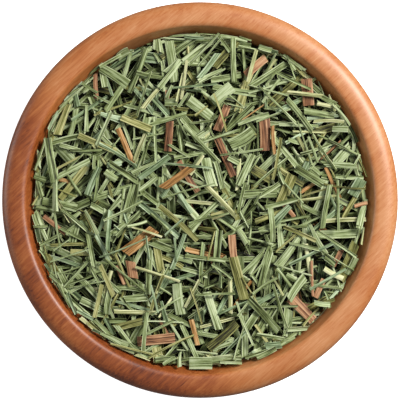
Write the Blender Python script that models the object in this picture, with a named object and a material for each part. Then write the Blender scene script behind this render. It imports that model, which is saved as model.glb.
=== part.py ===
"""Turned wooden bowl filled with dried lemongrass leaf that was cut short for tea.

The bowl is one turned solid, the packed cuttings below the surface are one heap that fits its hollow, and the
large cuttings that lie on top of the heap are pieces of their own, each at rest on what lies below it.
Frame: metres, +Z up, origin at the centre of the foot, +Y towards the back of the bowl.
"""

import math

import bmesh
import bpy

MM = 0.001

# Bowl: the driving dimensions, in millimetres.
BOWL_HEIGHT = 50.0
BOWL_RADIUS = 70.0
CREST_RADIUS = 63.5
LIP_WIDTH = 2.3
LIP_DEPTH = 1.8
LIP_POWER = 2.2
SHOULDER_DEPTH = 5.0
SHOULDER_POWER = 2.6
FOOT_RADIUS = 36.5
FOOT_HEIGHT = 3.0
FOOT_RECESS_RADIUS = 29.0
FOOT_RECESS_DEPTH = 1.5
FLOOR_THICKNESS = 8.5
HOLLOW_RADIUS = 58.4
HOLLOW_FLAT_RADIUS = 28.0
HOLLOW_BEND_HEIGHT = 43.0
TURNS = 72

# Heap of cuttings.
FILL_HEIGHT = 44.6
FILL_LUMP = 0.45
HEAP_GAP = 0.45
HEAP_RINGS = 9

# Large cuttings on top.
CLEARANCE = 0.3
WALL_CLEARANCE = 0.6
SIDE_CLEARANCE = 0.55
STATION_STEP = 0.5
LENGTH_SECTIONS = 4

# kind: thickness, rise of the middle as a share of the width, sRGB colour, roughness
KINDS = {
    "green_blade": (0.35, 0.10, "8FA06C", 0.75),
    "folded_blade": (0.35, 0.30, "7F9160", 0.75),
    "olive_blade": (0.40, 0.12, "8E8A4A", 0.75),
    "pale_rib": (0.70, 0.22, "C9CF9C", 0.70),
    "brown_sheath": (0.40, 0.14, "8F5A3C", 0.80),
    "tan_sheath": (0.40, 0.16, "B4824C", 0.80),
}

# Each cutting: kind, x, y, heading in degrees from +X, length, width. A later one lies on an earlier one.
CUTTINGS = [
    ("brown_sheath", 22.8, 23.7, 92, 12.6, 4.0),
    ("tan_sheath", 26.0, 21.2, 95, 10.0, 1.3),
    ("brown_sheath", -11.0, 22.6, 86, 10.8, 2.7),
    ("tan_sheath", -26.4, 19.1, 113, 13.6, 1.9),
    ("brown_sheath", -4.1, 8.3, 122, 12.8, 2.0),
    ("tan_sheath", -21.4, -14.5, 38, 13.4, 4.0),
    ("brown_sheath", 11.6, -16.3, 95, 8.0, 2.8),
    ("brown_sheath", -24.1, -24.6, 100, 6.0, 3.4),
    ("brown_sheath", -28.0, -26.5, 113, 7.2, 1.6),
    ("brown_sheath", 36.8, -39.4, 135, 11.4, 3.8),
    ("brown_sheath", -15.5, -49.4, 6, 13.4, 3.5),
    ("tan_sheath", -2.0, -46.8, 104, 9.3, 1.8),
    ("olive_blade", 8.0, -48.0, 41, 13.6, 3.1),
    ("brown_sheath", 19.7, 47.1, 41, 9.6, 2.9),
    ("brown_sheath", 7.9, 29.0, 68, 9.6, 3.0),
    ("brown_sheath", 40.0, 40.0, 95, 9.6, 4.0),
    ("brown_sheath", -36.8, 40.4, 93, 8.6, 1.5),
    ("brown_sheath", -51.4, -8.8, 141, 10.0, 1.7),
    ("brown_sheath", 48.4, -20.6, 62, 6.7, 1.8),
    ("brown_sheath", 42.3, -31.2, 65, 7.2, 2.0),
    ("brown_sheath", 31.0, -3.4, 132, 7.3, 1.6),
    ("olive_blade", 7.0, -5.0, 20, 6.3, 2.3),
    ("olive_blade", 21.9, 9.2, 150, 7.4, 3.2),
    ("olive_blade", 13.8, -27.6, 105, 15.6, 3.4),
    ("green_blade", -46.0, 10.3, 28, 16.0, 1.9),
    ("green_blade", -49.6, -1.6, 168, 12.4, 2.7),
    ("green_blade", -9.9, 49.0, 98, 14.6, 3.3),
    ("green_blade", 24.4, 44.4, 33, 14.4, 2.3),
    ("green_blade", 34.9, 26.4, 178, 14.0, 1.0),
    ("green_blade", 42.0, 30.6, 170, 11.0, 2.3),
    ("folded_blade", 30.8, 33.0, 27, 9.0, 1.9),
    ("green_blade", 50.2, 15.4, 48, 8.4, 3.4),
    ("folded_blade", -15.0, 34.0, 132, 10.8, 2.3),
    ("green_blade", 7.9, 37.3, 40, 9.0, 4.3),
    ("green_blade", 0.5, 31.9, 142, 11.4, 3.9),
    ("green_blade", 14.7, 21.8, 30, 9.4, 4.6),
    ("brown_sheath", 9.0, 15.3, 114, 15.0, 2.4),
    ("green_blade", 3.2, 9.8, 105, 10.4, 3.6),
    ("green_blade", 16.2, 10.6, 66, 12.2, 2.7),
    ("folded_blade", -16.0, 11.5, 36, 13.2, 2.5),
    ("green_blade", 20.5, 2.2, 2, 13.4, 3.0),
    ("folded_blade", -14.4, -6.8, 139, 18.6, 2.3),
    ("green_blade", -18.0, -25.6, 88, 15.6, 2.0),
    ("green_blade", -40.2, -30.2, 133, 13.0, 2.2),
    ("green_blade", -7.4, -35.0, 97, 11.0, 3.4),
    ("green_blade", 4.6, -39.2, 108, 14.0, 2.7),
    ("green_blade", 22.4, -44.0, 61, 12.6, 3.2),
    ("green_blade", 23.1, -24.7, 76, 13.2, 2.5),
    ("folded_blade", 22.8, -34.8, 28, 13.0, 2.2),
    ("pale_rib", 7.5, -0.4, 134, 15.4, 1.8),
    ("pale_rib", 18.4, 47.4, 75, 11.8, 1.4),
    ("pale_rib", 37.0, 37.4, 173, 12.6, 1.4),
    ("pale_rib", -17.3, 35.9, 51, 9.6, 1.6),
    ("pale_rib", -22.8, -39.7, 178, 15.2, 1.5),
    ("pale_rib", 10.7, -33.5, 91, 13.0, 1.6),
    ("pale_rib", 38.6, -22.4, 99, 14.0, 1.6),
    ("pale_rib", 47.2, -26.0, 152, 7.6, 1.9),
    ("pale_rib", -18.7, -11.1, 162, 11.4, 0.8),
]
ROLL_SPREAD = math.radians(7)
BOW_SHARE = 0.03


def clear_scene():
    for obj in list(bpy.data.objects):
        bpy.data.objects.remove(obj, do_unlink=True)


def srgb_to_linear(hex_colour):
    """RGBA in linear light from an sRGB hex colour."""
    channels = [int(hex_colour[i : i + 2], 16) / 255 for i in (0, 2, 4)]
    return [c / 12.92 if c <= 0.04045 else ((c + 0.055) / 1.055) ** 2.4 for c in channels] + [1.0]


def material(name, hex_colour, roughness):
    made = bpy.data.materials.new(name)
    made.use_nodes = True
    shader = made.node_tree.nodes["Principled BSDF"]
    shader.inputs["Base Color"].default_value = srgb_to_linear(hex_colour)
    shader.inputs["Roughness"].default_value = roughness
    shader.inputs["Metallic"].default_value = 0.0
    return made


def add_object(name, mesh, finish, parent):
    obj = bpy.data.objects.new(name, mesh)
    bpy.context.scene.collection.objects.link(obj)
    obj.data.materials.append(finish)
    obj.parent = parent
    return obj


def ellipse_arc(centre, half_sizes, start_deg, end_deg, steps, power=2.0):
    """Points (r, z) of an ellipse's arc, both ends included. 0 degrees points outwards, 90 points up.

    A power over 2 makes the ellipse squarer, with flatter sides and a tighter corner."""
    points = []
    for i in range(steps + 1):
        angle = math.radians(start_deg + (end_deg - start_deg) * i / steps)
        c, s = math.cos(angle), math.sin(angle)
        out = math.copysign(abs(c) ** (2 / power), c)
        up = math.copysign(abs(s) ** (2 / power), s)
        points.append((centre[0] + half_sizes[0] * out, centre[1] + half_sizes[1] * up))
    return points


def hollow_outline(gap=0.0):
    """The bowl's inside from the axis to its mouth, moved inwards by gap, as (r, z) in millimetres."""
    depth = HOLLOW_BEND_HEIGHT - FLOOR_THICKNESS - gap
    centre = (HOLLOW_FLAT_RADIUS, HOLLOW_BEND_HEIGHT)
    bend = ellipse_arc(centre, (HOLLOW_RADIUS - HOLLOW_FLAT_RADIUS - gap, depth), -90, 0, 7)
    return [(0.0, FLOOR_THICKNESS + gap)] + bend


def lip_outline():
    """The rim's inner side, from the wall up to the crest, as (r, z) in millimetres."""
    return ellipse_arc((CREST_RADIUS, BOWL_HEIGHT - LIP_DEPTH), (LIP_WIDTH, LIP_DEPTH), 170, 90, 6, LIP_POWER)


def bowl_outline():
    """The bowl's half section, up the hollow, over the rim and down the outside, as (r, z) in millimetres."""
    lip = lip_outline()
    shoulder_centre = (CREST_RADIUS, BOWL_HEIGHT - SHOULDER_DEPTH)
    shoulder_size = (BOWL_RADIUS - CREST_RADIUS, SHOULDER_DEPTH)
    shoulder = ellipse_arc(shoulder_centre, shoulder_size, 90, 0, 8, SHOULDER_POWER)
    belly_height = BOWL_HEIGHT - SHOULDER_DEPTH - FOOT_HEIGHT
    belly_centre = (FOOT_RADIUS, BOWL_HEIGHT - SHOULDER_DEPTH)
    belly = ellipse_arc(belly_centre, (BOWL_RADIUS - FOOT_RADIUS, belly_height), 0, -90, 9)
    foot = [
        (FOOT_RADIUS, 0.0),
        (FOOT_RECESS_RADIUS, 0.0),
        (FOOT_RECESS_RADIUS - FOOT_RECESS_DEPTH, FOOT_RECESS_DEPTH),
        (0.0, FOOT_RECESS_DEPTH),
    ]
    return hollow_outline() + lip + shoulder[1:] + belly[1:] + foot


def build_bowl(parent, finish):
    """The bowl, turned from its half section with a Screw modifier."""
    outline = bowl_outline()
    mesh = bpy.data.meshes.new("bowl")
    edges = [(i, i + 1) for i in range(len(outline) - 1)]
    mesh.from_pydata([(r * MM, 0.0, z * MM) for r, z in outline], edges, [])
    bowl = add_object("wooden_bowl", mesh, finish, parent)
    turned = bowl.modifiers.new("Turned", "SCREW")
    turned.steps = TURNS
    turned.render_steps = TURNS
    turned.use_merge_vertices = True
    turned.merge_threshold = 0.00001
    turned.use_smooth_shade = True
    return bowl


def fill_height(x, y):
    """Top of the heap at a point, in millimetres: level, with the low lumps of a heap that was shaken flat."""
    lumps = math.sin(0.11 * x + 0.6) * math.cos(0.13 * y - 0.4) + 0.6 * math.sin(0.21 * x - 0.17 * y)
    return FILL_HEIGHT + FILL_LUMP * lumps


def wall_radius(z):
    """Radius of the bowl's straight inner wall at a height above the hollow's bend, in millimetres."""
    lip_foot = lip_outline()[0]
    share = (z - HOLLOW_BEND_HEIGHT) / (lip_foot[1] - HOLLOW_BEND_HEIGHT)
    return HOLLOW_RADIUS + (lip_foot[0] - HOLLOW_RADIUS) * share


def add_ring(mesh, radius, height_at):
    """Adds one ring of vertices; height_at gives the height at a point, all in millimetres."""
    ring = []
    for i in range(TURNS):
        angle = math.tau * i / TURNS
        x, y = radius * math.cos(angle), radius * math.sin(angle)
        ring.append(mesh.verts.new((x * MM, y * MM, height_at(x, y) * MM)))
    return ring


def build_heap(parent, finish):
    """The packed cuttings as one solid: it fits the hollow and has a low, lumpy top."""
    mesh = bmesh.new()
    outline = hollow_outline(HEAP_GAP)
    rings = [add_ring(mesh, r, lambda x, y, z=z: z) for r, z in outline[1:]]
    top_radius = wall_radius(FILL_HEIGHT - FILL_LUMP) - 2 * HEAP_GAP
    for k in range(HEAP_RINGS):
        rings.append(add_ring(mesh, top_radius * (HEAP_RINGS - k) / HEAP_RINGS, fill_height))
    for lower, upper in zip(rings, rings[1:]):
        for i in range(TURNS):
            j = (i + 1) % TURNS
            mesh.faces.new((lower[i], lower[j], upper[j], upper[i]))
    for ring, z, turned_up in ((rings[0], outline[0][1], False), (rings[-1], fill_height(0, 0), True)):
        hub = mesh.verts.new((0, 0, z * MM))
        for i in range(TURNS):
            j = (i + 1) % TURNS
            corners = (hub, ring[i], ring[j]) if turned_up else (hub, ring[j], ring[i])
            mesh.faces.new(corners)
    bmesh.ops.recalc_face_normals(mesh, faces=mesh.faces)
    data = bpy.data.meshes.new("heap")
    mesh.to_mesh(data)
    mesh.free()
    data.shade_smooth()
    return add_object("packed_cuttings", data, finish, parent)


class Laid:
    """A cutting at rest: where it lies, and the plane of its top."""

    def __init__(self, x, y, heading, length, width, height):
        self.x, self.y, self.length, self.width, self.height = x, y, length, width, height
        self.along = (math.cos(heading), math.sin(heading))
        self.middle_z = self.slope = self.roll = 0.0

    def plan(self, along, across):
        """World x and y of a point given by its place along and across the cutting."""
        ax, ay = self.along
        return self.x + along * ax - across * ay, self.y + along * ay + across * ax

    def keep_off_wall(self):
        """Moves the cutting towards the bowl's axis until its farthest corner is clear of the wall."""
        limit = wall_radius(FILL_HEIGHT) - WALL_CLEARANCE
        ends = [(a * self.length / 2, b * self.width / 2) for a in (-1, 1) for b in (-1, 1)]
        for _ in range(100):
            if max(math.hypot(*self.plan(*end)) for end in ends) <= limit:
                break
            self.x -= 0.1 * self.x / math.hypot(self.x, self.y)
            self.y -= 0.1 * self.y / math.hypot(self.x, self.y)

    def local(self, x, y):
        """Place along and across the cutting of a point in the world."""
        ax, ay = self.along
        dx, dy = x - self.x, y - self.y
        return dx * ax + dy * ay, -dx * ay + dy * ax

    def top_at(self, x, y):
        """Height of the top at a point, or None where the point is clear of the cutting."""
        along, across = self.local(x, y)
        if abs(along) > self.length / 2 + SIDE_CLEARANCE or abs(across) > self.width / 2 + SIDE_CLEARANCE:
            return None
        return self.middle_z + self.slope * along + math.tan(self.roll) * across + self.height

    def highest(self):
        return self.middle_z + abs(self.slope) * self.length / 2 + self.height

    def lay_on(self, below):
        """Sets height and slope so that the underside rests on the heap and the cuttings below."""
        steps = max(2, math.ceil(self.length / STATION_STEP))
        places = [self.length * (i / steps - 0.5) for i in range(steps + 1)]
        across = [self.width * share for share in (-0.5, -0.25, 0.0, 0.25, 0.5)]
        held = []
        for place in places:
            heights = []
            for side in across:
                x, y = self.plan(place, side)
                tops = [top for top in (laid.top_at(x, y) for laid in below) if top is not None]
                heights.append(max([fill_height(x, y)] + tops) - math.tan(self.roll) * side)
            held.append((place, max(heights)))
        left = [point for point in held if point[0] <= 0]
        right = [point for point in held if point[0] > 0]
        pairs = [(a, b) for a in left for b in right]
        low, high = max(pairs, key=lambda pair: line_at_middle(*pair))
        self.slope = (high[1] - low[1]) / (high[0] - low[0])
        self.middle_z = line_at_middle(low, high) + CLEARANCE


def line_at_middle(low, high):
    """Height at place 0 of the line through two (place, height) points on either side of it."""
    return (low[1] * high[0] - high[1] * low[0]) / (high[0] - low[0])


def cutting_mesh(name, length, width, thickness, rise, bow):
    """A strip of leaf along X with its underside's lowest line at z = 0: arched across, and bowed along."""
    mesh = bmesh.new()
    sections = []
    for i in range(LENGTH_SECTIONS + 1):
        share = 2 * i / LENGTH_SECTIONS - 1
        lift = bow * (1 - share * share)
        under = [(-width / 2, 0.0), (0.0, rise), (width / 2, 0.0)]
        outline = under + [(y, z + thickness) for y, z in reversed(under)]
        sections.append([mesh.verts.new((share * length / 2 * MM, y * MM, (z + lift) * MM)) for y, z in outline])
    count = len(sections[0])
    for near, far in zip(sections, sections[1:]):
        for i in range(count):
            j = (i + 1) % count
            mesh.faces.new((near[i], near[j], far[j], far[i]))
    for end in (sections[0], sections[-1]):
        mesh.faces.new((end[0], end[1], end[4], end[5]))
        mesh.faces.new((end[1], end[2], end[3], end[4]))
    bmesh.ops.recalc_face_normals(mesh, faces=mesh.faces)
    data = bpy.data.meshes.new(name)
    mesh.to_mesh(data)
    mesh.free()
    return data


def build_cuttings(parent, finishes):
    """Lays the large cuttings one after another, each on the heap or on the ones that it crosses."""
    laid = []
    counts = dict.fromkeys(KINDS, 0)
    for index, (kind, x, y, heading_deg, length, width) in enumerate(CUTTINGS):
        thickness, rise_share = KINDS[kind][:2]
        rise = rise_share * width
        bow = BOW_SHARE * length * (0.5 + 0.5 * math.sin(1.7 * index))
        heading = math.radians(heading_deg)
        piece = Laid(x, y, heading, length, width, thickness + rise + bow)
        piece.roll = ROLL_SPREAD * math.sin(2.4 * index)
        piece.keep_off_wall()
        piece.lay_on(laid)
        laid.append(piece)
        counts[kind] += 1
        name = f"{kind}_{counts[kind]:02d}"
        obj = add_object(name, cutting_mesh(name, length, width, thickness, rise, bow), finishes[kind], parent)
        obj.location = (piece.x * MM, piece.y * MM, piece.middle_z * MM)
        obj.rotation_euler = (piece.roll, -math.atan(piece.slope), heading)
    return laid


def main():
    clear_scene()
    whole = bpy.data.objects.new("bowl_of_cut_lemongrass", None)
    bpy.context.scene.collection.objects.link(whole)
    build_bowl(whole, material("oiled_hardwood", "B87A4C", 0.42))
    build_heap(whole, material("packed_leaf", "6E7A50", 0.85))
    finishes = {kind: material(kind, colour, roughness) for kind, (_, _, colour, roughness) in KINDS.items()}
    laid = build_cuttings(whole, finishes)
    print("highest cutting:", round(max(piece.highest() for piece in laid), 2), "mm")


main()
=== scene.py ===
# %% [markdown]
# # A turned wooden bowl of dried, cut lemongrass
#
# The object has two parts. One is a bowl, turned on a lathe from oiled hardwood, with a narrow rounded
# lip and a broad rolled shoulder. The other is its filling: lemongrass leaf that was dried and cut into
# flat strips, which lie at random, one on another, with dark gaps between them.
#
# The solid model gives the sizes: the bowl, the heap of cuttings as one plain solid, and the largest
# cuttings. This script gives them their looks. It turns a smoother bowl, drops more than a thousand
# strips of leaf into it one by one, and shapes each large cutting where the solid model has it.

# %% Start from the solid model
import math

import bpy
import numpy as np
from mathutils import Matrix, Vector


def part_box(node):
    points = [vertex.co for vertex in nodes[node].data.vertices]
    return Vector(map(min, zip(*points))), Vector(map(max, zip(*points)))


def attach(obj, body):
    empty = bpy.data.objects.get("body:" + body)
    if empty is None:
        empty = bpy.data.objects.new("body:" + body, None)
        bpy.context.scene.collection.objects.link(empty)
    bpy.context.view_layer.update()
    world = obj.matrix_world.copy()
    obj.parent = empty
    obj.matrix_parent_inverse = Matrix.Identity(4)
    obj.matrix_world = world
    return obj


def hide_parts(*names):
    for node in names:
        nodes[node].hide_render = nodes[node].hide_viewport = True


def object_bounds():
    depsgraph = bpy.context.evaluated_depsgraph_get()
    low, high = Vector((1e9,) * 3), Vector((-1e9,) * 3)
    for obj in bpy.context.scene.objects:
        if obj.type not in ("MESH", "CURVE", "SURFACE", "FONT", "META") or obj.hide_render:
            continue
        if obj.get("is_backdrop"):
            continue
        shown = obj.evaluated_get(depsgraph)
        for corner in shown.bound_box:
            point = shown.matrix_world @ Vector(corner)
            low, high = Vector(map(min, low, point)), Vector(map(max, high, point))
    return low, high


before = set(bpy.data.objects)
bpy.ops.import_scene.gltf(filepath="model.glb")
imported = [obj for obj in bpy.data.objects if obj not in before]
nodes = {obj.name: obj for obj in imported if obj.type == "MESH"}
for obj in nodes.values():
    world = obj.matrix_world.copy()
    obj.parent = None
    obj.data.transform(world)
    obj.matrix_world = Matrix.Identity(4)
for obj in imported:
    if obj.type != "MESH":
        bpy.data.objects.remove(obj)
cad_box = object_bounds()
MM = 0.001
print("solid model, mm:", [[round(c / MM, 1) for c in corner] for corner in cad_box])

# %% [markdown]
# ## Small helpers for every material
#
# Colours are written the way a colour picker shows them, as sRGB hex. Blender works in linear light, so
# one function converts them. A second function adds a node, sets it and links it in one call, and a
# third starts a material. The nodes could be set one line at a time instead, but this keeps each
# material short enough to read as a recipe.


# %% Colours and nodes
def linear(hex_colour):
    """RGBA in linear light from an sRGB hex colour."""
    shares = [int(hex_colour[i : i + 2], 16) / 255 for i in (1, 3, 5)]
    return [s / 12.92 if s <= 0.04045 else ((s + 0.055) / 1.055) ** 2.4 for s in shares] + [1.0]


def add_node(tree, kind, settings=(), links=()):
    """Adds a node to the tree. A setting goes to the input of that name, or else to the node itself.

    The setting "stops" is a colour ramp's list of (position, hex colour or grey level)."""
    made = tree.nodes.new(kind)
    for name, value in dict(settings).items():
        if name == "stops":
            stops = made.color_ramp.elements
            while len(stops) < len(value):
                stops.new(0.5)
            for stop, (position, colour) in zip(stops, value):
                stop.position = position
                stop.color = linear(colour) if isinstance(colour, str) else (colour, colour, colour, 1)
        elif isinstance(name, int) or name in made.inputs:
            made.inputs[name].default_value = value
        else:
            setattr(made, name, value)
    for name, source in dict(links).items():
        tree.links.new(source, made.inputs[name])
    return made


def new_finish(name, roughness, ior, specular=0.5):
    """A material with its Principled shader: (material, node tree, shader)."""
    finish = bpy.data.materials.new(name)
    finish.use_nodes = True
    shader = finish.node_tree.nodes["Principled BSDF"]
    shader.inputs["Roughness"].default_value = roughness
    shader.inputs["IOR"].default_value = ior
    shader.inputs["Metallic"].default_value = 0.0
    shader.inputs["Specular IOR Level"].default_value = specular
    return finish, finish.node_tree, shader


print("helpers ready, white is", linear("#FFFFFF"))

# %% [markdown]
# ## Oiled hardwood
#
# The bowl is a reddish brown hardwood, such as acacia or cherry, turned and rubbed with oil. To the eye
# that is three patterns along one direction, the fibres: broad growth rings some millimetres apart,
# fine fibre streaks under a millimetre wide, and short dark pores. The oil deepens the colour and
# leaves a soft sheen.
#
# The patterns could be painted round the rim, but then the streaks would follow the curve, which wood
# never does. So they are solid: they are worked out in the space of the whole block and not on its
# surface. A lathe cuts through that block, and the streaks run along the rim on two sides of the bowl
# and across it on the others, with nothing to unwrap. The side of the block away from the key lamp is
# made darker in colour: that is painted shade.

# %% Oiled hardwood, as a solid pattern
FIBRE_HEADING = math.radians(42)
RING_WIDTH_MM = 4.2
RING_WAVER_MM = 12.0
PITH_MM = (0.0, 34.0, 120.0)
WOOD_SHADES = [(0.0, "#571F07"), (0.25, "#904818"), (0.5, "#B36C36"), (0.75, "#C68A59"), (1.0, "#DAAA86")]
# Painted shade: the wood's colour darkens towards the side away from the key lamp, fading in over this
# span.
SHADED_SIDE_HEADING = math.radians(206)
PAINTED_SHADE_STARTS_MM, PAINTED_SHADE_FULL_MM = 4, 54
PAINTED_SHADE_DARKNESS = 0.37


def oiled_hardwood():
    finish, tree, shader = new_finish("oiled_hardwood", roughness=0.46, ior=1.5, specular=0.75)
    block = add_node(tree, "ShaderNodeTexCoord")
    # Millimetres, with X along the fibres.
    grain = add_node(
        tree,
        "ShaderNodeMapping",
        {"Rotation": (0.0, 0.05, -FIBRE_HEADING), "Scale": (1 / MM, 1 / MM, 1 / MM)},
        {"Vector": block.outputs["Object"]},
    )
    on_grain = {"Vector": grain.outputs[0]}
    # Growth rings: distance from the tree's pith, which wavers a little along the trunk.
    waver = add_node(tree, "ShaderNodeTexNoise", {"Scale": 0.014, "Detail": 1.0}, on_grain)
    pith = {"Scale": (0.04, 1.0, 1.0), "Location": PITH_MM}
    from_pith = add_node(tree, "ShaderNodeMapping", pith, on_grain)
    radius = add_node(tree, "ShaderNodeVectorMath", {"operation": "LENGTH"}, {0: from_pith.outputs[0]})
    bent = add_node(
        tree,
        "ShaderNodeMath",
        {"operation": "MULTIPLY_ADD", 1: RING_WAVER_MM},
        {0: waver.outputs[0], 2: radius.outputs["Value"]},
    )
    per_ring = {"operation": "DIVIDE", 1: RING_WIDTH_MM}
    rings = add_node(tree, "ShaderNodeMath", per_ring, {0: bent.outputs[0]})
    ring = add_node(tree, "ShaderNodeMath", {"operation": "FRACT"}, {0: rings.outputs[0]})
    # Within a ring the wood darkens slowly and then ends at a line.
    ring_stops = [(0.0, 0.46), (0.15, 0.54), (0.7, 0.5), (1.0, 0.42)]
    ring_shade = add_node(tree, "ShaderNodeValToRGB", {"stops": ring_stops}, {0: ring.outputs[0]})
    # Fibre streaks, many times as long as they are wide: coarse ones 2 mm across, fine ones 0.6 mm. Real
    # fibres are finer still, and are drawn as coarse as they need to show.
    stretch = add_node(tree, "ShaderNodeMapping", {"Scale": (0.06, 1.0, 1.0)}, on_grain)
    on_fibres = {"Vector": stretch.outputs[0]}
    coarse = {"Scale": 0.55, "Detail": 3.0, "Roughness": 0.6}
    fine = {"Scale": 1.6, "Detail": 3.0, "Roughness": 0.8}
    streaks = add_node(tree, "ShaderNodeTexNoise", coarse, on_fibres)
    fibres = add_node(tree, "ShaderNodeTexNoise", fine, on_fibres)
    # Pores: dashes about 3 mm by 0.5 mm, drawn wider than real so that they show.
    dash = add_node(tree, "ShaderNodeMapping", {"Scale": (0.14, 1.0, 1.0)}, on_grain)
    pores = add_node(tree, "ShaderNodeTexNoise", {"Scale": 2.0, "Detail": 1.0}, {"Vector": dash.outputs[0]})
    darkest = {"From Min": 0.6, "From Max": 0.74}
    pore = add_node(tree, "ShaderNodeMapRange", darkest, {"Value": pores.outputs[0]})
    # Mottling: the patches, some 20 mm across, where the fibres dip and the wood looks deeper.
    mottle = add_node(tree, "ShaderNodeTexNoise", {"Scale": 0.05, "Detail": 2.0}, on_grain)
    # Painted shade: the side of the block away from the key lamp is darker in colour.
    shaded_side = (math.cos(SHADED_SIDE_HEADING), math.sin(SHADED_SIDE_HEADING), 0.0)
    towards_shaded_side = add_node(
        tree, "ShaderNodeVectorMath", {"operation": "DOT_PRODUCT", 1: shaded_side}, {0: block.outputs["Object"]}
    )
    fade = {
        "interpolation_type": "SMOOTHSTEP",
        "From Min": PAINTED_SHADE_FULL_MM * MM,
        "From Max": PAINTED_SHADE_STARTS_MM * MM,
        "To Min": -PAINTED_SHADE_DARKNESS,
        "To Max": 0.0,
    }
    painted_shade = add_node(tree, "ShaderNodeMapRange", fade, {"Value": towards_shaded_side.outputs["Value"]})
    # The layers add up to one tone, each with its own share, and the tone picks the colour.
    tone = painted_shade.outputs[0]
    for share, layer in ((0.5, ring_shade), (0.3, streaks), (0.6, fibres), (0.6, mottle), (-0.12, pore)):
        weighted = {"operation": "MULTIPLY_ADD", 1: share}
        added = add_node(tree, "ShaderNodeMath", weighted, {0: layer.outputs[0], 2: tone})
        tone = added.outputs[0]
    spread = add_node(tree, "ShaderNodeMapRange", {"From Min": 0.4, "From Max": 1.36}, {"Value": tone})
    colour = add_node(tree, "ShaderNodeValToRGB", {"stops": WOOD_SHADES}, {0: spread.outputs[0]})
    tree.links.new(colour.outputs[0], shader.inputs["Base Color"])
    # Open fibres and pores hold less polish than the rest.
    polish = {"From Min": 0.2, "From Max": 0.8, "To Min": 0.4, "To Max": 0.52}
    rough = add_node(tree, "ShaderNodeMapRange", polish, {"Value": fibres.outputs[0]})
    tree.links.new(rough.outputs[0], shader.inputs["Roughness"])
    bump = add_node(tree, "ShaderNodeBump", {"Strength": 0.25, "Distance": 0.04 * MM}, {"Height": tone})
    tree.links.new(bump.outputs[0], shader.inputs["Normal"])
    return finish


hardwood = oiled_hardwood()
print("oiled hardwood:", len(hardwood.node_tree.nodes), "nodes, rings", RING_WIDTH_MM, "mm apart")

# %% [markdown]
# ## The bowl
#
# A turned bowl is one outline swept round an axis. It could be pushed and pulled from a sphere, but the
# lathe's own way is shorter and exact: a half section, then a Screw modifier. The solid model's bowl
# has few sides. This one has the same section in finer steps, so that the lip and the shoulder stay
# smooth in a close view.
#
# The rim has two parts. A narrow lip turns down into the hollow, and a broad, nearly flat shoulder
# falls slowly outwards. Both are superellipses: like an ellipse, but squarer as their power goes over
# 2.

# %% The bowl's half section
low, high = (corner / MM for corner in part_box("wooden_bowl"))
BOWL_RADIUS, BOWL_HEIGHT = high.x, high.z
CREST_RADIUS = BOWL_RADIUS - 6.5
LIP_WIDTH, LIP_DEPTH, LIP_POWER = 2.3, 1.8, 2.2
SHOULDER_DEPTH, SHOULDER_POWER = 5.0, 2.6
HOLLOW_RADIUS = 58.4
HOLLOW_FLAT_RADIUS = 28.0
HOLLOW_BEND_HEIGHT = 43.0
# From the bend up to the lip the wall leans outwards by this much for each millimetre of height.
WALL_SLOPE = 0.51
FLOOR_THICKNESS = 8.5
FOOT_RADIUS, FOOT_HEIGHT, FOOT_BEVEL = 36.5, 3.0, 0.4
RECESS_RADIUS, RECESS_DEPTH = 29.0, 1.5


def arc(centre, half_sizes, start_deg, end_deg, steps, power=2.0):
    """Points (r, z) along an ellipse, from 0 degrees outwards to 90 up. A power over 2 makes it squarer."""
    angles = np.radians(np.linspace(start_deg, end_deg, steps + 1))
    out = np.sign(np.cos(angles)) * np.abs(np.cos(angles)) ** (2 / power)
    up = np.sign(np.sin(angles)) * np.abs(np.sin(angles)) ** (2 / power)
    return list(zip(centre[0] + half_sizes[0] * out, centre[1] + half_sizes[1] * up))


def bowl_section():
    """Up the hollow, over the lip, down the outside and across the foot."""
    bend = (HOLLOW_RADIUS - HOLLOW_FLAT_RADIUS, HOLLOW_BEND_HEIGHT - FLOOR_THICKNESS)
    hollow = [(0.0, FLOOR_THICKNESS)] + arc((HOLLOW_FLAT_RADIUS, HOLLOW_BEND_HEIGHT), bend, -90, 0, 16)
    lip = arc((CREST_RADIUS, BOWL_HEIGHT - LIP_DEPTH), (LIP_WIDTH, LIP_DEPTH), 170, 90, 20, LIP_POWER)
    shoulder_height = BOWL_HEIGHT - SHOULDER_DEPTH
    shoulder_size = (BOWL_RADIUS - CREST_RADIUS, SHOULDER_DEPTH)
    shoulder = arc((CREST_RADIUS, shoulder_height), shoulder_size, 90, 0, 24, SHOULDER_POWER)
    belly_size = (BOWL_RADIUS - FOOT_RADIUS, shoulder_height - FOOT_HEIGHT)
    belly = arc((FOOT_RADIUS, shoulder_height), belly_size, 0, -90, 20)
    foot = [(FOOT_RADIUS, FOOT_BEVEL), (FOOT_RADIUS - FOOT_BEVEL, 0.0), (RECESS_RADIUS, 0.0)]
    recess = [(RECESS_RADIUS - RECESS_DEPTH, RECESS_DEPTH), (0.0, RECESS_DEPTH)]
    return hollow + lip + shoulder[1:] + belly[1:] + foot + recess


section = bowl_section()
print("bowl section:", len(section), "points, crest at", round(CREST_RADIUS, 1), "mm")

# %% Turn the bowl
TURNS = 256


def turned(name, outline, finish, turns):
    """A lathe-turned mesh from its half section in millimetres."""
    mesh = bpy.data.meshes.new(name)
    edges = [(i, i + 1) for i in range(len(outline) - 1)]
    mesh.from_pydata([(r * MM, 0.0, z * MM) for r, z in outline], edges, [])
    piece = bpy.data.objects.new(name, mesh)
    bpy.context.scene.collection.objects.link(piece)
    mesh.materials.append(finish)
    screw = piece.modifiers.new("Turned", "SCREW")
    screw.steps = screw.render_steps = turns
    screw.use_merge_vertices = True
    screw.merge_threshold = 0.00001
    screw.use_smooth_shade = True
    bpy.context.view_layer.update()
    made = bpy.data.meshes.new_from_object(piece.evaluated_get(bpy.context.evaluated_depsgraph_get()))
    piece.modifiers.clear()
    piece.data = made
    made.name = name
    made.set_sharp_from_angle(angle=math.radians(35))
    return piece


bowl = turned("turned_bowl", section, hardwood, TURNS)
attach(bowl, "root")
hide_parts("wooden_bowl")
print("turned bowl:", len(bowl.data.polygons), "faces")
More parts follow.
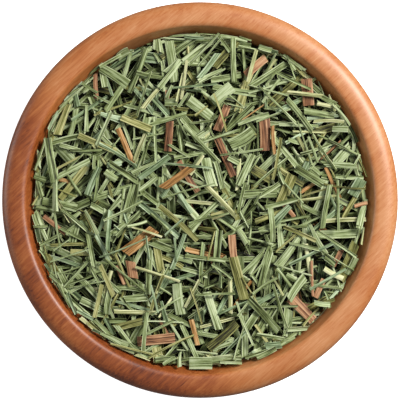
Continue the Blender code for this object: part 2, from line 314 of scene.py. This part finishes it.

# %% [markdown]
# ## Dried lemongrass leaf
#
# Lemongrass is a grass: its blades have parallel veins some half a millimetre apart and a pale rib down
# the middle. Drying in the shade keeps them grey green, older leaves go olive or straw coloured, and
# the sheaths from the foot of the plant turn brown. The surface is matt and a little fibrous, and a cut
# end shows paler fibres.
#
# Each strip could have a material of its own, but two thousand of them would be slow. So the strips share a
# few, and each carries what its material reads: a UV map in millimetres, so that the veins run along it at
# their real spacing, a shade and a seed drawn by chance, so that no two look alike, and a mark on its two
# long edges, which are painted paler: a painted highlight.

# %% Leaf materials
UV_MAP = "strip_mm"
LEAVES = {
    # name: (record slot, shades from dark to light and last the colour of the cut fibres)
    "grey_green_blade": ("dried_leaf_green", "#121706 #3F4A1F #768551 #98A978 #BCCAA0 #CBD0A6"),
    "cool_green_blade": ("dried_leaf_green", "#0F160A #3A4A28 #6C8058 #8CA27B #B0C3A2 #C2CEAC"),
    "olive_blade": ("dried_leaf_olive", "#16170A #494B20 #777A40 #95975A #B6B680 #C8C694"),
    "pale_rib": ("dried_leaf_pale", "#26281A #70754A #A3A972 #C2C792 #DADDB0 #DCDCB4"),
    "brown_sheath": ("dried_sheath_brown", "#1C1008 #5A3A22 #8A5F42 #A67A56 #C49E78 #B58E68"),
    "tan_sheath": ("dried_sheath_tan", "#241808 #66471F #946B38 #B08650 #CCA876 #D0B488"),
}
VEIN_SPACING_MM = 0.48
# The last of these is the share of a painted highlight along each strip's long edges.
VEIN_SHARE, BLOTCH_SHARE, EDGE_HIGHLIGHT = 2.8, 0.5, 0.3
DARKEST_TONE, PALEST_TONE = 1.65, 2.7
CUT_PALENESS = 0.15
# Each strip takes its pattern from its own place, somewhere within this distance.
SEED_RANGE_MM = 300.0


def dried_leaf(name, shades, lighten=0.0):
    """Matt, fibrous leaf: veins, blotches where it dried unevenly, and its own shade for each strip."""
    finish, tree, shader = new_finish(name, roughness=0.62, ior=1.45, specular=0.4)
    strip = add_node(tree, "ShaderNodeUVMap", {"uv_map": UV_MAP})
    seed = add_node(tree, "ShaderNodeAttribute", {"attribute_name": "seed"})
    shade = add_node(tree, "ShaderNodeAttribute", {"attribute_name": "shade"})
    spacing = {"operation": "SCALE", "Scale": SEED_RANGE_MM}
    shift = add_node(tree, "ShaderNodeVectorMath", spacing, {0: seed.outputs["Vector"]})
    both = {0: strip.outputs[0], 1: shift.outputs[0]}
    place = add_node(tree, "ShaderNodeVectorMath", {"operation": "ADD"}, both)
    # Veins: noise 25 times as long as it is wide.
    long = {"Scale": (0.04, 1.0, 1.0)}
    along = add_node(tree, "ShaderNodeMapping", long, {"Vector": place.outputs[0]})
    ribbed = {"Scale": 1 / VEIN_SPACING_MM, "Detail": 2.0, "Roughness": 0.65}
    veins = add_node(tree, "ShaderNodeTexNoise", ribbed, {"Vector": along.outputs[0]})
    # Blotches some 3 mm across.
    patchy = {"Scale": 0.35, "Detail": 3.0, "Roughness": 0.6}
    blotches = add_node(tree, "ShaderNodeTexNoise", patchy, {"Vector": place.outputs[0]})
    # Painted highlight: a strip's long edges are made paler than its middle.
    edge = add_node(tree, "ShaderNodeAttribute", {"attribute_name": "edge"})
    tone = shade.outputs["Fac"]
    layers = (
        (VEIN_SHARE, veins.outputs[0]),
        (BLOTCH_SHARE, blotches.outputs[0]),
        (EDGE_HIGHLIGHT, edge.outputs["Fac"]),
    )
    for share, layer in layers:
        weighted = {"operation": "MULTIPLY_ADD", 1: share}
        added = add_node(tree, "ShaderNodeMath", weighted, {0: layer, 2: tone})
        tone = added.outputs[0]
    tones = {"From Min": DARKEST_TONE - lighten, "From Max": PALEST_TONE - lighten}
    spread = add_node(tree, "ShaderNodeMapRange", tones, {"Value": tone})
    stops = [(i / (len(shades) - 1), colour) for i, colour in enumerate(shades)]
    colour = add_node(tree, "ShaderNodeValToRGB", {"stops": stops}, {0: spread.outputs[0]})
    tree.links.new(colour.outputs[0], shader.inputs["Base Color"])
    relief = {"Strength": 0.5, "Distance": 0.08 * MM}
    bump = add_node(tree, "ShaderNodeBump", relief, {"Height": veins.outputs[0]})
    tree.links.new(bump.outputs[0], shader.inputs["Normal"])
    return finish


leaf_finishes = {}
for kind, (_, colours) in LEAVES.items():
    *shades, palest, cut_colour = colours.split()
    leaf_finishes[kind] = [
        dried_leaf(f"dried_{kind}", shades + [palest]),
        dried_leaf(f"cut_edge_of_{kind}", shades + [cut_colour], lighten=CUT_PALENESS),
    ]
print("leaf materials:", sum(len(pair) for pair in leaf_finishes.values()))

# %% [markdown]
# ## One strip of leaf
#
# A cut piece of leaf is thin and stiff. Drying bends it: some stay nearly flat, some curl into a
# channel, and those cut from the middle of a blade keep a fold along the rib. All of these are one
# shape with different numbers. Walking across the strip, its slope changes steadily (an arch or a
# channel) or suddenly (a fold), and adding up the steps gives the section. The section then runs along
# the strip, with a slight bow and twist, and the ends are cut square or at a slant.

# %% Section of a strip
ACROSS, ALONG = 6, 5
FOLD_SHARPNESS = 40


def strip_section(width, arch, fold, fold_at):
    """Places across and heights of a strip's middle surface. An arch and a fold are in radians."""
    share = np.linspace(0.0, 1.0, ACROSS + 1)
    middle = (share[1:] + share[:-1]) / 2
    past_fold = 1.0 / (1.0 + np.exp(-(middle - fold_at) * FOLD_SHARPNESS))
    slope = arch * (middle - 0.5) + fold * (past_fold - 0.5)
    step = width / ACROSS
    across = np.concatenate([[0.0], np.cumsum(np.cos(slope) * step)])
    height = np.concatenate([[0.0], np.cumsum(np.sin(slope) * step)])
    centre = np.interp(0.5, share, height)
    return across - across[-1] / 2, height - centre


across, height = strip_section(3.0, -1.2, 0.0, 0.5)
print("an arched strip 3 mm wide is", round(float(across[-1] - across[0]), 2), "mm across")


# %% Vertices and faces of a strip
def strip_template():
    """Faces of a closed strip, as corners into its vertices, and 1 for each face that is a cut edge."""
    columns = ACROSS + 1
    top = [[i * columns + j for j in range(columns)] for i in range(ALONG + 1)]
    below = [[(ALONG + 1) * columns + index for index in row] for row in top]
    faces, cut = [], []
    for i in range(ALONG):
        for j in range(ACROSS):
            faces.append((top[i][j], top[i + 1][j], top[i + 1][j + 1], top[i][j + 1]))
            faces.append((below[i][j], below[i][j + 1], below[i + 1][j + 1], below[i + 1][j]))
            cut += [0, 0]
        faces.append((top[i][0], below[i][0], below[i + 1][0], top[i + 1][0]))
        faces.append((top[i][-1], top[i + 1][-1], below[i + 1][-1], below[i][-1]))
        cut += [1, 1]
    for j in range(ACROSS):
        faces.append((top[0][j], top[0][j + 1], below[0][j + 1], below[0][j]))
        faces.append((top[-1][j], below[-1][j], below[-1][j + 1], top[-1][j + 1]))
        cut += [1, 1]
    return np.array(faces), np.array(cut)


STRIP_FACES, STRIP_CUT = strip_template()
# 1 for each vertex on a strip's long edges, where a highlight is painted, and 0 for the others.
STRIP_HIGHLIGHTED_EDGES = np.tile(np.isin(np.arange(ACROSS + 1), (0, ACROSS)).astype(float), 2 * (ALONG + 1))


def strip_points(strip):
    """Vertices of one strip in its own axes, X along it, and its UV in millimetres."""
    length, width, thickness = strip["length"], strip["width"], strip["thickness"]
    across, height = strip_section(width, strip["arch"], strip["fold"], strip["fold_at"])
    share = np.linspace(-1.0, 1.0, ALONG + 1)[:, None]
    taper = 1.0 - strip["taper"] * (share + 1) / 2
    y = across[None, :] * taper
    x = share * length / 2 + strip["slant"] * y * np.abs(share) + 0 * y
    z = height[None, :] * taper + strip["bow"] * (1 - share**2) + strip["twist"] * share * y
    y = y + strip["sweep"] * (1 - share**2)
    top = np.stack([x, y, z + thickness / 2], -1).reshape(-1, 3)
    below = np.stack([x, y, z - thickness / 2], -1).reshape(-1, 3)
    uv = np.stack([x, across[None, :] + 0 * x], -1).reshape(-1, 2)
    return np.concatenate([top, below]), np.concatenate([uv, uv])


print("each strip:", len(STRIP_FACES), "faces")

# %% [markdown]
# ## Sizes and shapes by chance
#
# A cutting machine gives a mix: mostly strips 8 to 15 mm long and about 2 mm wide, some broad ones, and
# thin shreds torn along the veins. The numbers come from one seeded generator, so the bowl is the same
# each time.

# %% Draw a strip by chance
chance = np.random.default_rng(20)
KIND_SHARES = {
    "grey_green_blade": 0.725,
    "cool_green_blade": 0.10,
    "olive_blade": 0.105,
    "pale_rib": 0.05,
    "brown_sheath": 0.01,
    "tan_sheath": 0.01,
}


def random_strip(shreds=0.25):
    """Size, shape and colour of one strip, with no place yet."""
    kind = chance.choice(list(KIND_SHARES), p=list(KIND_SHARES.values()))
    length = float(np.clip(chance.normal(11.5, 3.4), 4.5, 19.5))
    width = float(np.clip(chance.lognormal(math.log(1.7), 0.38), 0.9, 4.2))
    if chance.random() < shreds:
        width = float(chance.uniform(0.45, 1.1))
    if kind == "pale_rib":
        width = float(chance.uniform(0.7, 1.7))
    form = chance.random()
    arch = chance.normal(0.0, 0.5) if form < 0.5 else chance.choice([-1, 1]) * chance.uniform(0.8, 2.1)
    fold = chance.uniform(0.6, 1.5) * chance.choice([-1, 1]) if form > 0.76 else 0.0
    return {
        "kind": str(kind),
        "length": length,
        "width": width,
        "thickness": float(chance.uniform(0.2, 0.34)),
        "arch": float(arch) if fold == 0 else 0.2,
        "fold": float(fold),
        "fold_at": float(chance.uniform(0.35, 0.65)),
        "taper": float(chance.choice([0.0, 0.0, 0.0, chance.uniform(0.1, 0.6)])),
        "slant": float(chance.choice([0.0, chance.normal(0.0, 0.45)])),
        "bow": float(chance.normal(0.0, 0.02) * length),
        "twist": float(chance.normal(0.0, 0.07)),
        "sweep": float(chance.normal(0.0, 0.012) * length),
        "roll": float(np.clip(chance.normal(0.0, 0.2), -0.75, 0.75)),
        "heading": float(chance.uniform(0, math.pi)),
        "shade": float(np.clip(chance.normal(0.63, 0.13), 0.25, 0.95)),
        "seed": chance.random(3),
    }


print("a first strip:", {key: value for key, value in random_strip().items() if key != "seed"})

# %% [markdown]
# ## Dropping the strips
#
# To lie convincingly, each strip has to rest on the ones that were there before. A physics engine could
# do it, but thousands of thin, light strips take it long and leave it trembling. So the bed is kept as
# a map of heights instead. A strip that is dropped comes to rest on two points, one on each side of its
# middle: the pair whose joining line is highest there. Its own top then raises the map.

# %% The map of heights
GRID = 0.25
HALF = 60.0
CELLS = int(2 * HALF / GRID)
BED_BOTTOM = 38.4
BED_CEILING, TOP_CEILING = 49.2, 49.6
heights = np.full((CELLS, CELLS), BED_BOTTOM)
ceiling = np.full((CELLS, CELLS), BED_CEILING)
STEEPEST = math.tan(math.radians(24))
SINK = 0.12


def footprint(x, y, heading, length, width, spacing):
    """Sample places under a strip: along it, across it, and their rows and columns in the map."""
    along = np.linspace(-length / 2, length / 2, max(3, int(length / spacing) + 1))
    across = np.linspace(-width / 2, width / 2, max(2, int(width / spacing) + 2))
    c, s = math.cos(heading), math.sin(heading)
    px = x + along[:, None] * c - across[None, :] * s
    py = y + along[:, None] * s + across[None, :] * c
    columns = np.clip(((px + HALF) / GRID).astype(int), 0, CELLS - 1)
    rows = np.clip(((py + HALF) / GRID).astype(int), 0, CELLS - 1)
    return along, across, rows, columns


def resting_line(along, highest):
    """Height and slope at place 0 of the line that a stiff strip takes over the highest points."""
    left, right = along < 0, along > 0
    pl, hl = along[left][:, None], highest[left][:, None]
    pr, hr = along[right][None, :], highest[right][None, :]
    at_middle = (hl * pr - hr * pl) / (pr - pl)
    i, j = np.unravel_index(np.argmax(at_middle), at_middle.shape)
    slope = (hr[0, j] - hl[i, 0]) / (pr[0, j] - pl[i, 0])
    slope = float(np.clip(slope, -STEEPEST, STEEPEST))
    return float(np.max(highest - slope * along)), slope


print("map of heights:", CELLS, "x", CELLS, "cells of", GRID, "mm")


# %% Lay a strip, and raise the map
def lay(strip, x, y):
    """How the strip would rest at x, y: the height of its middle, and its slope."""
    roll = math.tan(strip["roll"])
    width = strip["width"] * math.cos(strip["roll"])
    along, across, rows, columns = footprint(x, y, strip["heading"], strip["length"], width, 0.45)
    under = heights[rows, columns] - roll * across[None, :]
    middle, slope = resting_line(along, under.max(1))
    return middle - SINK, slope


def top_of(strip):
    """How far the strip's top stands above the line that it rests on."""
    curl = (abs(strip["arch"]) / 8 + abs(strip["fold"]) / 6) * strip["width"]
    return strip["thickness"] + 0.7 * curl


def raise_map(strip, x, y, middle, slope):
    """Writes the strip's top to the map, unless that would push up something that lies on the bed."""
    roll = math.tan(strip["roll"])
    width = strip["width"] * math.cos(strip["roll"])
    along, across, rows, columns = footprint(x, y, strip["heading"], strip["length"], width, 0.2)
    top = middle + slope * along[:, None] + roll * across[None, :] + top_of(strip)
    if (top > ceiling[rows, columns]).any():
        return False
    np.maximum.at(heights, (rows, columns), top)
    return True


def wall_radius(z):
    """Radius of the hollow's wall at a height, or at an array of heights."""
    share = np.clip((HOLLOW_BEND_HEIGHT - z) / (HOLLOW_BEND_HEIGHT - FLOOR_THICKNESS), 0.0, 1.0)
    curved = HOLLOW_FLAT_RADIUS + (HOLLOW_RADIUS - HOLLOW_FLAT_RADIUS) * np.sqrt(1 - share**2)
    return curved + np.maximum(0.0, z - HOLLOW_BEND_HEIGHT) * WALL_SLOPE


print("the wall is", round(float(wall_radius(44.4)), 2), "mm from the axis at the top of the bed")

# %% [markdown]
# ## The large cuttings from the solid model
#
# The largest cuttings are solids of their own, so their places are already set. Each is long, narrow
# and thin, so the three main directions of its vertices are its own axes. Reading those back gives
# where to put a better looking strip of the same size.

# %% Read the large cuttings' places
LARGE_KINDS = {
    # node name's start: (leaf, arch, fold, thickness)
    "green_blade": ("grey_green_blade", -0.5, 0.0, 0.3),
    "folded_blade": ("cool_green_blade", 0.2, 1.2, 0.26),
    "olive_blade": ("olive_blade", -0.6, 0.0, 0.32),
    "pale_rib": ("pale_rib", -1.2, 0.0, 0.5),
    "brown_sheath": ("brown_sheath", -0.6, 0.0, 0.34),
    "tan_sheath": ("tan_sheath", -0.8, 0.0, 0.34),
}


def main_axes(name):
    """Of a long thin node: centre in mm, axes as rows (along, across, up) and sizes along them."""
    points = np.array([v.co for v in nodes[name].data.vertices]) / MM
    points = np.unique(points.round(3), axis=0)
    centre = (points.min(0) + points.max(0)) / 2
    _, _, axes = np.linalg.svd(points - points.mean(0), full_matrices=False)
    along = axes[0] * (1 if axes[0][0] >= 0 else -1)
    up = axes[2] * (1 if axes[2][2] >= 0 else -1)
    axes = np.array([along, np.cross(up, along), up])
    spans = (points - centre) @ axes.T
    centre = centre + (spans.max(0) + spans.min(0)) / 2 @ axes
    return centre, axes, np.ptp(spans, axis=0)


large = []
for index, name in enumerate(sorted(n for n in nodes if n[:-3] in LARGE_KINDS)):
    leaf, arch, fold, thickness = LARGE_KINDS[name[:-3]]
    centre, axes, sizes = main_axes(name)
    strip = random_strip()
    length, width, height = (float(size) for size in sizes)
    strip.update(kind=leaf, length=length, width=width, thickness=thickness, arch=arch, fold=fold)
    # A large cutting lies still and nearly flat, and every third one narrows a little.
    strip.update(twist=strip["twist"] * 0.5, taper=0.12 * (index % 3 == 0), roll=0.0, bow=0.015 * length)
    strip.update(node=name, centre=centre, axes=axes, height=height)
    large.append(strip)
print("large cuttings:", len(large))

# %% Keep room under the large cuttings
for strip in large:
    along_axis, across_axis, _ = strip["axes"]
    heading = math.atan2(along_axis[1], along_axis[0])
    x, y, z = strip["centre"]
    along, across, rows, columns = footprint(x, y, heading, strip["length"], strip["width"], 0.2)
    slope = along_axis[2] / math.hypot(along_axis[0], along_axis[1])
    tilt = across_axis[2] / math.hypot(across_axis[0], across_axis[1])
    middle = z + slope * along[:, None] + tilt * across[None, :]
    strip["cells"] = (rows, columns)
    strip["top"] = middle + strip["height"] / 2
    np.minimum.at(ceiling, (rows, columns), middle - strip["height"] / 2 + 0.1)
print("lowest ceiling:", round(float(ceiling.min()), 2), "mm")

# %% [markdown]
# ## Filling the bowl
#
# Strips are dropped until the bed reaches the solid model's level. For each one a few places are tried,
# and it takes the lowest: that is how a shaken bowl levels itself. Dropping them anywhere would be
# simpler, but heaps and hollows would form.
#
# Beside the wall a strip meets the wood before it lies flat, so the bed would end short of it. A
# second, smaller pass puts short strips there. A strip may reach a little past the wall, and its end is
# later bent back onto the wood, as a real one is blunted or curled when it is pressed in. That gives
# the filling a clean round edge. A few last shreds go on after the large cuttings, so that some of
# those are partly covered.

# %% Fill the bed
BED_LEVEL = 44.4
MOST_STRIPS, EDGE_STRIPS, SCATTERED_STRIPS = 6000, 160, 170
# How much higher than the bed the wall is measured for the edge strips and the scattered ones.
EDGE_RISE, SCATTER_RISE = 0.5, 0.8
EDGE_RING = 3.5
# A strip's corner may be dropped this far past the wall, and it ends up this far off it.
END_PRESSED, WALL_GAP = 0.6, 0.4
# Within this distance of the wall, this share of the strips turns along it.
BESIDE_WALL, TURNED_SHARE = 3.0, 0.3
# The bed's level is measured near a place, and over the whole bed after every so many strips.
LEVEL_WINDOW = 3.0
LEVEL_RADIUS, MEASURED_EVERY = 57.0, 25


def reach(strip, x, y):
    """Distance from the axis of the strip's farthest corner."""
    c, s = math.cos(strip["heading"]), math.sin(strip["heading"])
    a, b = strip["length"] / 2, strip["width"] / 2
    corners = [(i * a * c - j * b * s, i * a * s + j * b * c) for i in (-1, 1) for j in (-1, 1)]
    return max(math.hypot(x + dx, y + dy) for dx, dy in corners)


def level_near(x, y):
    """Mean height of the bed around a place."""
    row, column = int((y + HALF) / GRID), int((x + HALF) / GRID)
    near = int(LEVEL_WINDOW / GRID)
    window = heights[max(0, row - near) : row + near : 3, max(0, column - near) : column + near : 3]
    return float(window.mean())


def drop(strip, tries, level, ring=0.0):
    """Drops a strip where the bed, now up to a level, is lowest of a few places. Returns it, or None.

    With a ring over 0, the places are all in a ring of that width along the wall."""
    limit = wall_radius(level) + END_PRESSED
    inner = max(0.0, 1.0 - ring / limit) ** 2 if ring else 0.0
    along_wall = chance.normal(0.0, 0.2) if chance.random() < TURNED_SHARE else None
    first_heading = strip["heading"]
    places = []
    for _ in range(tries):
        angle, radius = chance.uniform(0, math.tau), limit * math.sqrt(chance.uniform(inner, 1.0))
        x, y = radius * math.cos(angle), radius * math.sin(angle)
        # A strip that lands against the wall may turn along it, and slides back until it just touches.
        if radius > limit - BESIDE_WALL and along_wall is not None:
            strip["heading"] = angle + math.pi / 2 + along_wall
        over = 1.3 * (reach(strip, x, y) - limit)
        if over > 0:
            x, y = x - over * math.cos(angle), y - over * math.sin(angle)
        if reach(strip, x, y) < limit:
            places.append((level_near(x, y), x, y, strip["heading"]))
        strip["heading"] = first_heading
    if not places:
        return None
    _, x, y, strip["heading"] = min(places)
    middle, slope = lay(strip, x, y)
    if not raise_map(strip, x, y, middle, slope):
        return None
    strip["x"], strip["y"], strip["middle"], strip["slope"] = x, y, middle, slope
    return strip


rows, columns = np.mgrid[0:CELLS, 0:CELLS]
in_bowl = np.hypot(rows * GRID - HALF, columns * GRID - HALF) < LEVEL_RADIUS
bed = []
level = BED_BOTTOM
for count in range(MOST_STRIPS):
    laid = drop(random_strip(), 4, level)
    if laid is not None:
        bed.append(laid)
    if count % MEASURED_EVERY == 0:
        level = float(heights[in_bowl].mean())
    if level > BED_LEVEL:
        break
for _ in range(EDGE_STRIPS):
    strip = random_strip(shreds=0.3)
    strip["length"] = float(chance.uniform(4.5, 10.0))
    laid = drop(strip, 6, level + EDGE_RISE, ring=EDGE_RING)
    if laid is not None:
        bed.append(laid)
print("bed:", len(bed), "strips, mean height", round(float(heights[in_bowl].mean()), 2), "mm")

# %% Last shreds on top
for strip in large:
    np.maximum.at(heights, strip["cells"], strip["top"])
ceiling[:] = TOP_CEILING
scattered = []
for _ in range(SCATTERED_STRIPS):
    laid = drop(random_strip(shreds=0.6), 3, level + SCATTER_RISE)
    if laid is not None:
        scattered.append(laid)
print("scattered on top:", len(scattered), "strips")

# %% [markdown]
# ## From places to meshes
#
# Two thousand strips as separate objects would be slow, so strips of one kind are joined into one mesh.
# Each strip stays a closed solid within it. The deeper half of the bed and the upper half are kept
# apart, so that a close view can hide one and look at the other.


# %% Join strips into a mesh
def strip_axes(strip):
    """Axes of a dropped strip, as rows: along, across and up."""
    c, s = math.cos(strip["heading"]), math.sin(strip["heading"])
    along = np.array([c, s, strip["slope"]])
    along /= np.linalg.norm(along)
    across = np.array([-s, c, math.tan(strip["roll"])])
    across -= along * (across @ along)
    across /= np.linalg.norm(across)
    return np.array([along, across, np.cross(along, across)])


def place_dropped(strip):
    """Gives a dropped strip its centre and axes, so that its underside is on its resting line."""
    strip["axes"] = strip_axes(strip)
    points, _ = strip_points(strip)
    rise = -min(points[:, 2].min(), -strip["thickness"] / 2) * 0.8
    strip["centre"] = np.array([strip["x"], strip["y"], strip["middle"] + rise])
    return strip


def kept_off_the_wall(points):
    """Moves points past the bowl's wall back to it, as the wall bends or blunts a strip pressed on it."""
    share = (wall_radius(points[:, 2]) - WALL_GAP) / np.hypot(points[:, 0], points[:, 1])
    points[:, :2] *= np.minimum(1.0, share)[:, None]
    return points


def joined_strips(name, strips, finishes):
    """One mesh of many strips, with their UV in millimetres, shades and seeds."""
    points, uvs, faces, shades, seeds = [], [], [], [], []
    count = 0
    for strip in strips:
        own, uv = strip_points(strip)
        points.append(kept_off_the_wall(own @ strip["axes"] + strip["centre"]))
        uvs.append(uv)
        faces.append(STRIP_FACES + count)
        shades.append(np.full(len(own), strip["shade"]))
        seeds.append(np.tile(strip["seed"], (len(own), 1)))
        count += len(own)
    faces = np.concatenate(faces)
    mesh = bpy.data.meshes.new(name)
    mesh.from_pydata(np.concatenate(points) * MM, [], faces.tolist())
    for finish in finishes:
        mesh.materials.append(finish)
    mesh.polygons.foreach_set("material_index", np.tile(STRIP_CUT, len(strips)))
    layer = mesh.uv_layers.new(name=UV_MAP)
    layer.uv.foreach_set("vector", np.concatenate(uvs)[faces.ravel()].astype(np.float32).ravel())
    # The long edges, where a highlight is painted.
    edge = mesh.attributes.new("edge", "FLOAT", "POINT")
    edge.data.foreach_set("value", np.tile(STRIP_HIGHLIGHTED_EDGES, len(strips)).astype(np.float32))
    shade = mesh.attributes.new("shade", "FLOAT", "POINT")
    shade.data.foreach_set("value", np.concatenate(shades).astype(np.float32))
    seed = mesh.attributes.new("seed", "FLOAT_VECTOR", "POINT")
    seed.data.foreach_set("vector", np.concatenate(seeds).astype(np.float32).ravel())
    mesh.shade_smooth()
    mesh.set_sharp_from_angle(angle=math.radians(50))
    mesh.update()
    piece = bpy.data.objects.new(name, mesh)
    bpy.context.scene.collection.objects.link(piece)
    return piece


def add_pieces(label, strips):
    """Makes one piece for each kind among the strips. Each rides on the bowl."""
    made = []
    for kind, (slot, _) in LEAVES.items():
        chosen = [strip for strip in strips if strip["kind"] == kind]
        if not chosen:
            continue
        piece = joined_strips(f"{label}_{kind}s", chosen, leaf_finishes[kind])
        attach(piece, "root")
        replaced = [strip["node"] for strip in chosen if "node" in strip]
        if replaced:
            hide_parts(*replaced)
        made.append(piece)
    return made


for strip in bed + scattered:
    place_dropped(strip)
# Painted shade: the lower a strip lies, the darker its colour, down to nothing at the depth that no light
# reaches.
DEPTH_OF_LIGHT = 3.0
for strip in bed:
    light = min(1.0, max(0.0, DEPTH_OF_LIGHT + strip["middle"] - BED_LEVEL) / DEPTH_OF_LIGHT)
    strip["shade"] *= 0.6 * light + 0.4 * light**3
by_depth = sorted(bed, key=lambda strip: strip["middle"])
half = len(by_depth) // 2
pieces = add_pieces("deep", by_depth[:half]) + add_pieces("upper", by_depth[half:])
pieces += add_pieces("large", large) + add_pieces("scattered", scattered)
print("leaf pieces:", len(pieces), "with", sum(len(piece.data.polygons) for piece in pieces), "faces")

# %% [markdown]
# ## The heap below the surface
#
# Nobody sees the strips at the bottom of the bowl. Dropping them too would make the script slow and the
# model heavy, so they are one closed mass, turned like the bowl. Only its top shows, deep in the gaps,
# where it should look like leaf in shadow: dark and broken up.

# %% The core of the heap
CORE_GAP = 0.5
CORE_TURNS = 96


def packed_leaf_core():
    """Leaf deep in the heap: the same green, darkened as painted shade, in crumbs."""
    finish, tree, shader = new_finish("packed_leaf_in_shadow", roughness=0.9, ior=1.4, specular=0.2)
    block = add_node(tree, "ShaderNodeTexCoord")
    to_mm = {"Scale": (1 / MM, 1 / MM, 1 / MM)}
    millimetres = add_node(tree, "ShaderNodeMapping", to_mm, {"Vector": block.outputs["Object"]})
    # Crumbs some 2 mm across.
    cells = {"Scale": 0.5, "feature": "F1"}
    crumbs = add_node(tree, "ShaderNodeTexVoronoi", cells, {"Vector": millimetres.outputs[0]})
    # Painted shade: the crumbs are nearly black, as leaf in shadow.
    crumb_stops = [(0.0, "#2A2E14"), (0.6, "#14170A"), (1.0, "#070804")]
    from_middle = crumbs.outputs["Distance"]
    colour = add_node(tree, "ShaderNodeValToRGB", {"stops": crumb_stops}, {0: from_middle})
    tree.links.new(colour.outputs[0], shader.inputs["Base Color"])
    relief = {"Strength": 0.8, "Distance": 0.6 * MM}
    bump = add_node(tree, "ShaderNodeBump", relief, {"Height": from_middle})
    tree.links.new(bump.outputs[0], shader.inputs["Normal"])
    return finish


def core_section():
    """Half section of the core, from the middle of its flat top: the hollow's shape, moved in."""
    floor = FLOOR_THICKNESS + 0.4
    shoulder, top = BED_BOTTOM - 0.6, BED_BOTTOM - 0.1
    side = [(wall_radius(z) - CORE_GAP, z) for z in np.linspace(shoulder, floor, 14)]
    rings = [(side[0][0] * share, top) for share in (0.0, 0.2, 0.4, 0.6, 0.8, 0.98)]
    return rings + side + [(0.0, floor)]


core = turned("packed_cuttings_below", core_section(), packed_leaf_core(), CORE_TURNS)
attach(core, "root")
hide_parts("packed_cuttings")
print("core:", len(core.data.polygons), "faces")

# %% [markdown]
# ## Table, light and camera
#
# The bowl stands on a table of pure white. A painted table would throw its light back at the wood and
# turn the outside of the bowl pale, so this one is a plain glow that only the camera sees: it lights
# nothing.
#
# One soft lamp stands to the back right, a little over 40 degrees up. It gives the shoulder its sheen on
# that side and leaves the other side in its own shade. A weak second lamp, low on the left, lightens the
# outer edge there, and a dim white sky fills the shadows. The camera looks straight down through a long
# lens.

# %% Table and lights
TABLE_HALF, TABLE_GAP = 3.0, 0.0002
AIM = Vector((0, 0, 0.04))
SKY_STRENGTH = 0.26


def add_table():
    finish, tree, shader = new_finish("white_table", roughness=0.9, ior=1.45, specular=0.1)
    grain = add_node(tree, "ShaderNodeTexNoise", {"Scale": 60.0})
    whites = [(0.0, "#FAFAFA"), (1.0, "#FFFFFF")]
    tint = add_node(tree, "ShaderNodeValToRGB", {"stops": whites}, {0: grain.outputs[0]})
    tree.links.new(tint.outputs[0], shader.inputs["Base Color"])
    shader.inputs["Emission Color"].default_value = linear("#FFFFFF")
    shader.inputs["Emission Strength"].default_value = 1.0
    mesh = bpy.data.meshes.new("table")
    corners = [(x * TABLE_HALF, y * TABLE_HALF, 0) for x, y in ((-1, -1), (1, -1), (1, 1), (-1, 1))]
    mesh.from_pydata(corners, [], [(0, 1, 2, 3)])
    mesh.materials.append(finish)
    table = bpy.data.objects.new("table", mesh)
    bpy.context.scene.collection.objects.link(table)
    table.location.z = -TABLE_GAP
    table.visible_diffuse = False
    table.visible_glossy = False
    table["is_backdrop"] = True


def add_lamp(name, azimuth_deg, elevation_deg, distance, size, power, colour):
    """A square soft lamp that looks at the bowl from an azimuth counted from +X."""
    data = bpy.data.lights.new(name, "AREA")
    data.size = size
    data.energy = power
    data.color = linear(colour)[:3]
    lamp = bpy.data.objects.new(name, data)
    bpy.context.scene.collection.objects.link(lamp)
    azimuth, elevation = math.radians(azimuth_deg), math.radians(elevation_deg)
    level, up = math.cos(elevation), math.sin(elevation)
    towards = Vector((math.cos(azimuth) * level, math.sin(azimuth) * level, up))
    lamp.location = AIM + towards * distance
    lamp.rotation_euler = towards.to_track_quat("Z", "Y").to_euler()


add_table()
add_lamp("key_lamp", 33, 43, 0.9, 0.3, 11.5, "#FFF9F4")
add_lamp("left_lamp", 172, 4, 0.8, 0.4, 2.0, "#FFFFFF")
world = bpy.data.worlds.new("studio")
bpy.context.scene.world = world
world.use_nodes = True
world.node_tree.nodes["Background"].inputs["Color"].default_value = linear("#FAFBFF")
world.node_tree.nodes["Background"].inputs["Strength"].default_value = SKY_STRENGTH
bpy.context.scene.view_settings.view_transform = "Standard"

# %% Camera
LENS_MM, SENSOR_MM = 300.0, 36.0
BOWL_SHARE_OF_FRAME = 0.9895
FRAME_WIDTH_MM = 2 * BOWL_RADIUS / BOWL_SHARE_OF_FRAME


def add_camera():
    """Straight above the bowl, so far up that its widest line just fits the frame."""
    data = bpy.data.cameras.new("camera")
    data.lens = LENS_MM
    data.sensor_width = SENSOR_MM
    distance = FRAME_WIDTH_MM * LENS_MM / SENSOR_MM
    camera = bpy.data.objects.new("camera", data)
    bpy.context.scene.collection.objects.link(camera)
    camera.location = (0, 0, (BOWL_HEIGHT - SHOULDER_DEPTH + distance) * MM)
    bpy.context.scene.camera = camera
    return camera


camera = add_camera()
print("camera", round(camera.location.z, 3), "m up")

# %% Finish
visual_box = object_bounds()
boxes = {"cad_box": cad_box, "visual_box": visual_box}
sizes = {name: [list(corner) for corner in box] for name, box in boxes.items()}
print("visual model, mm:", [[round(c / MM, 1) for c in corner] for corner in visual_box])
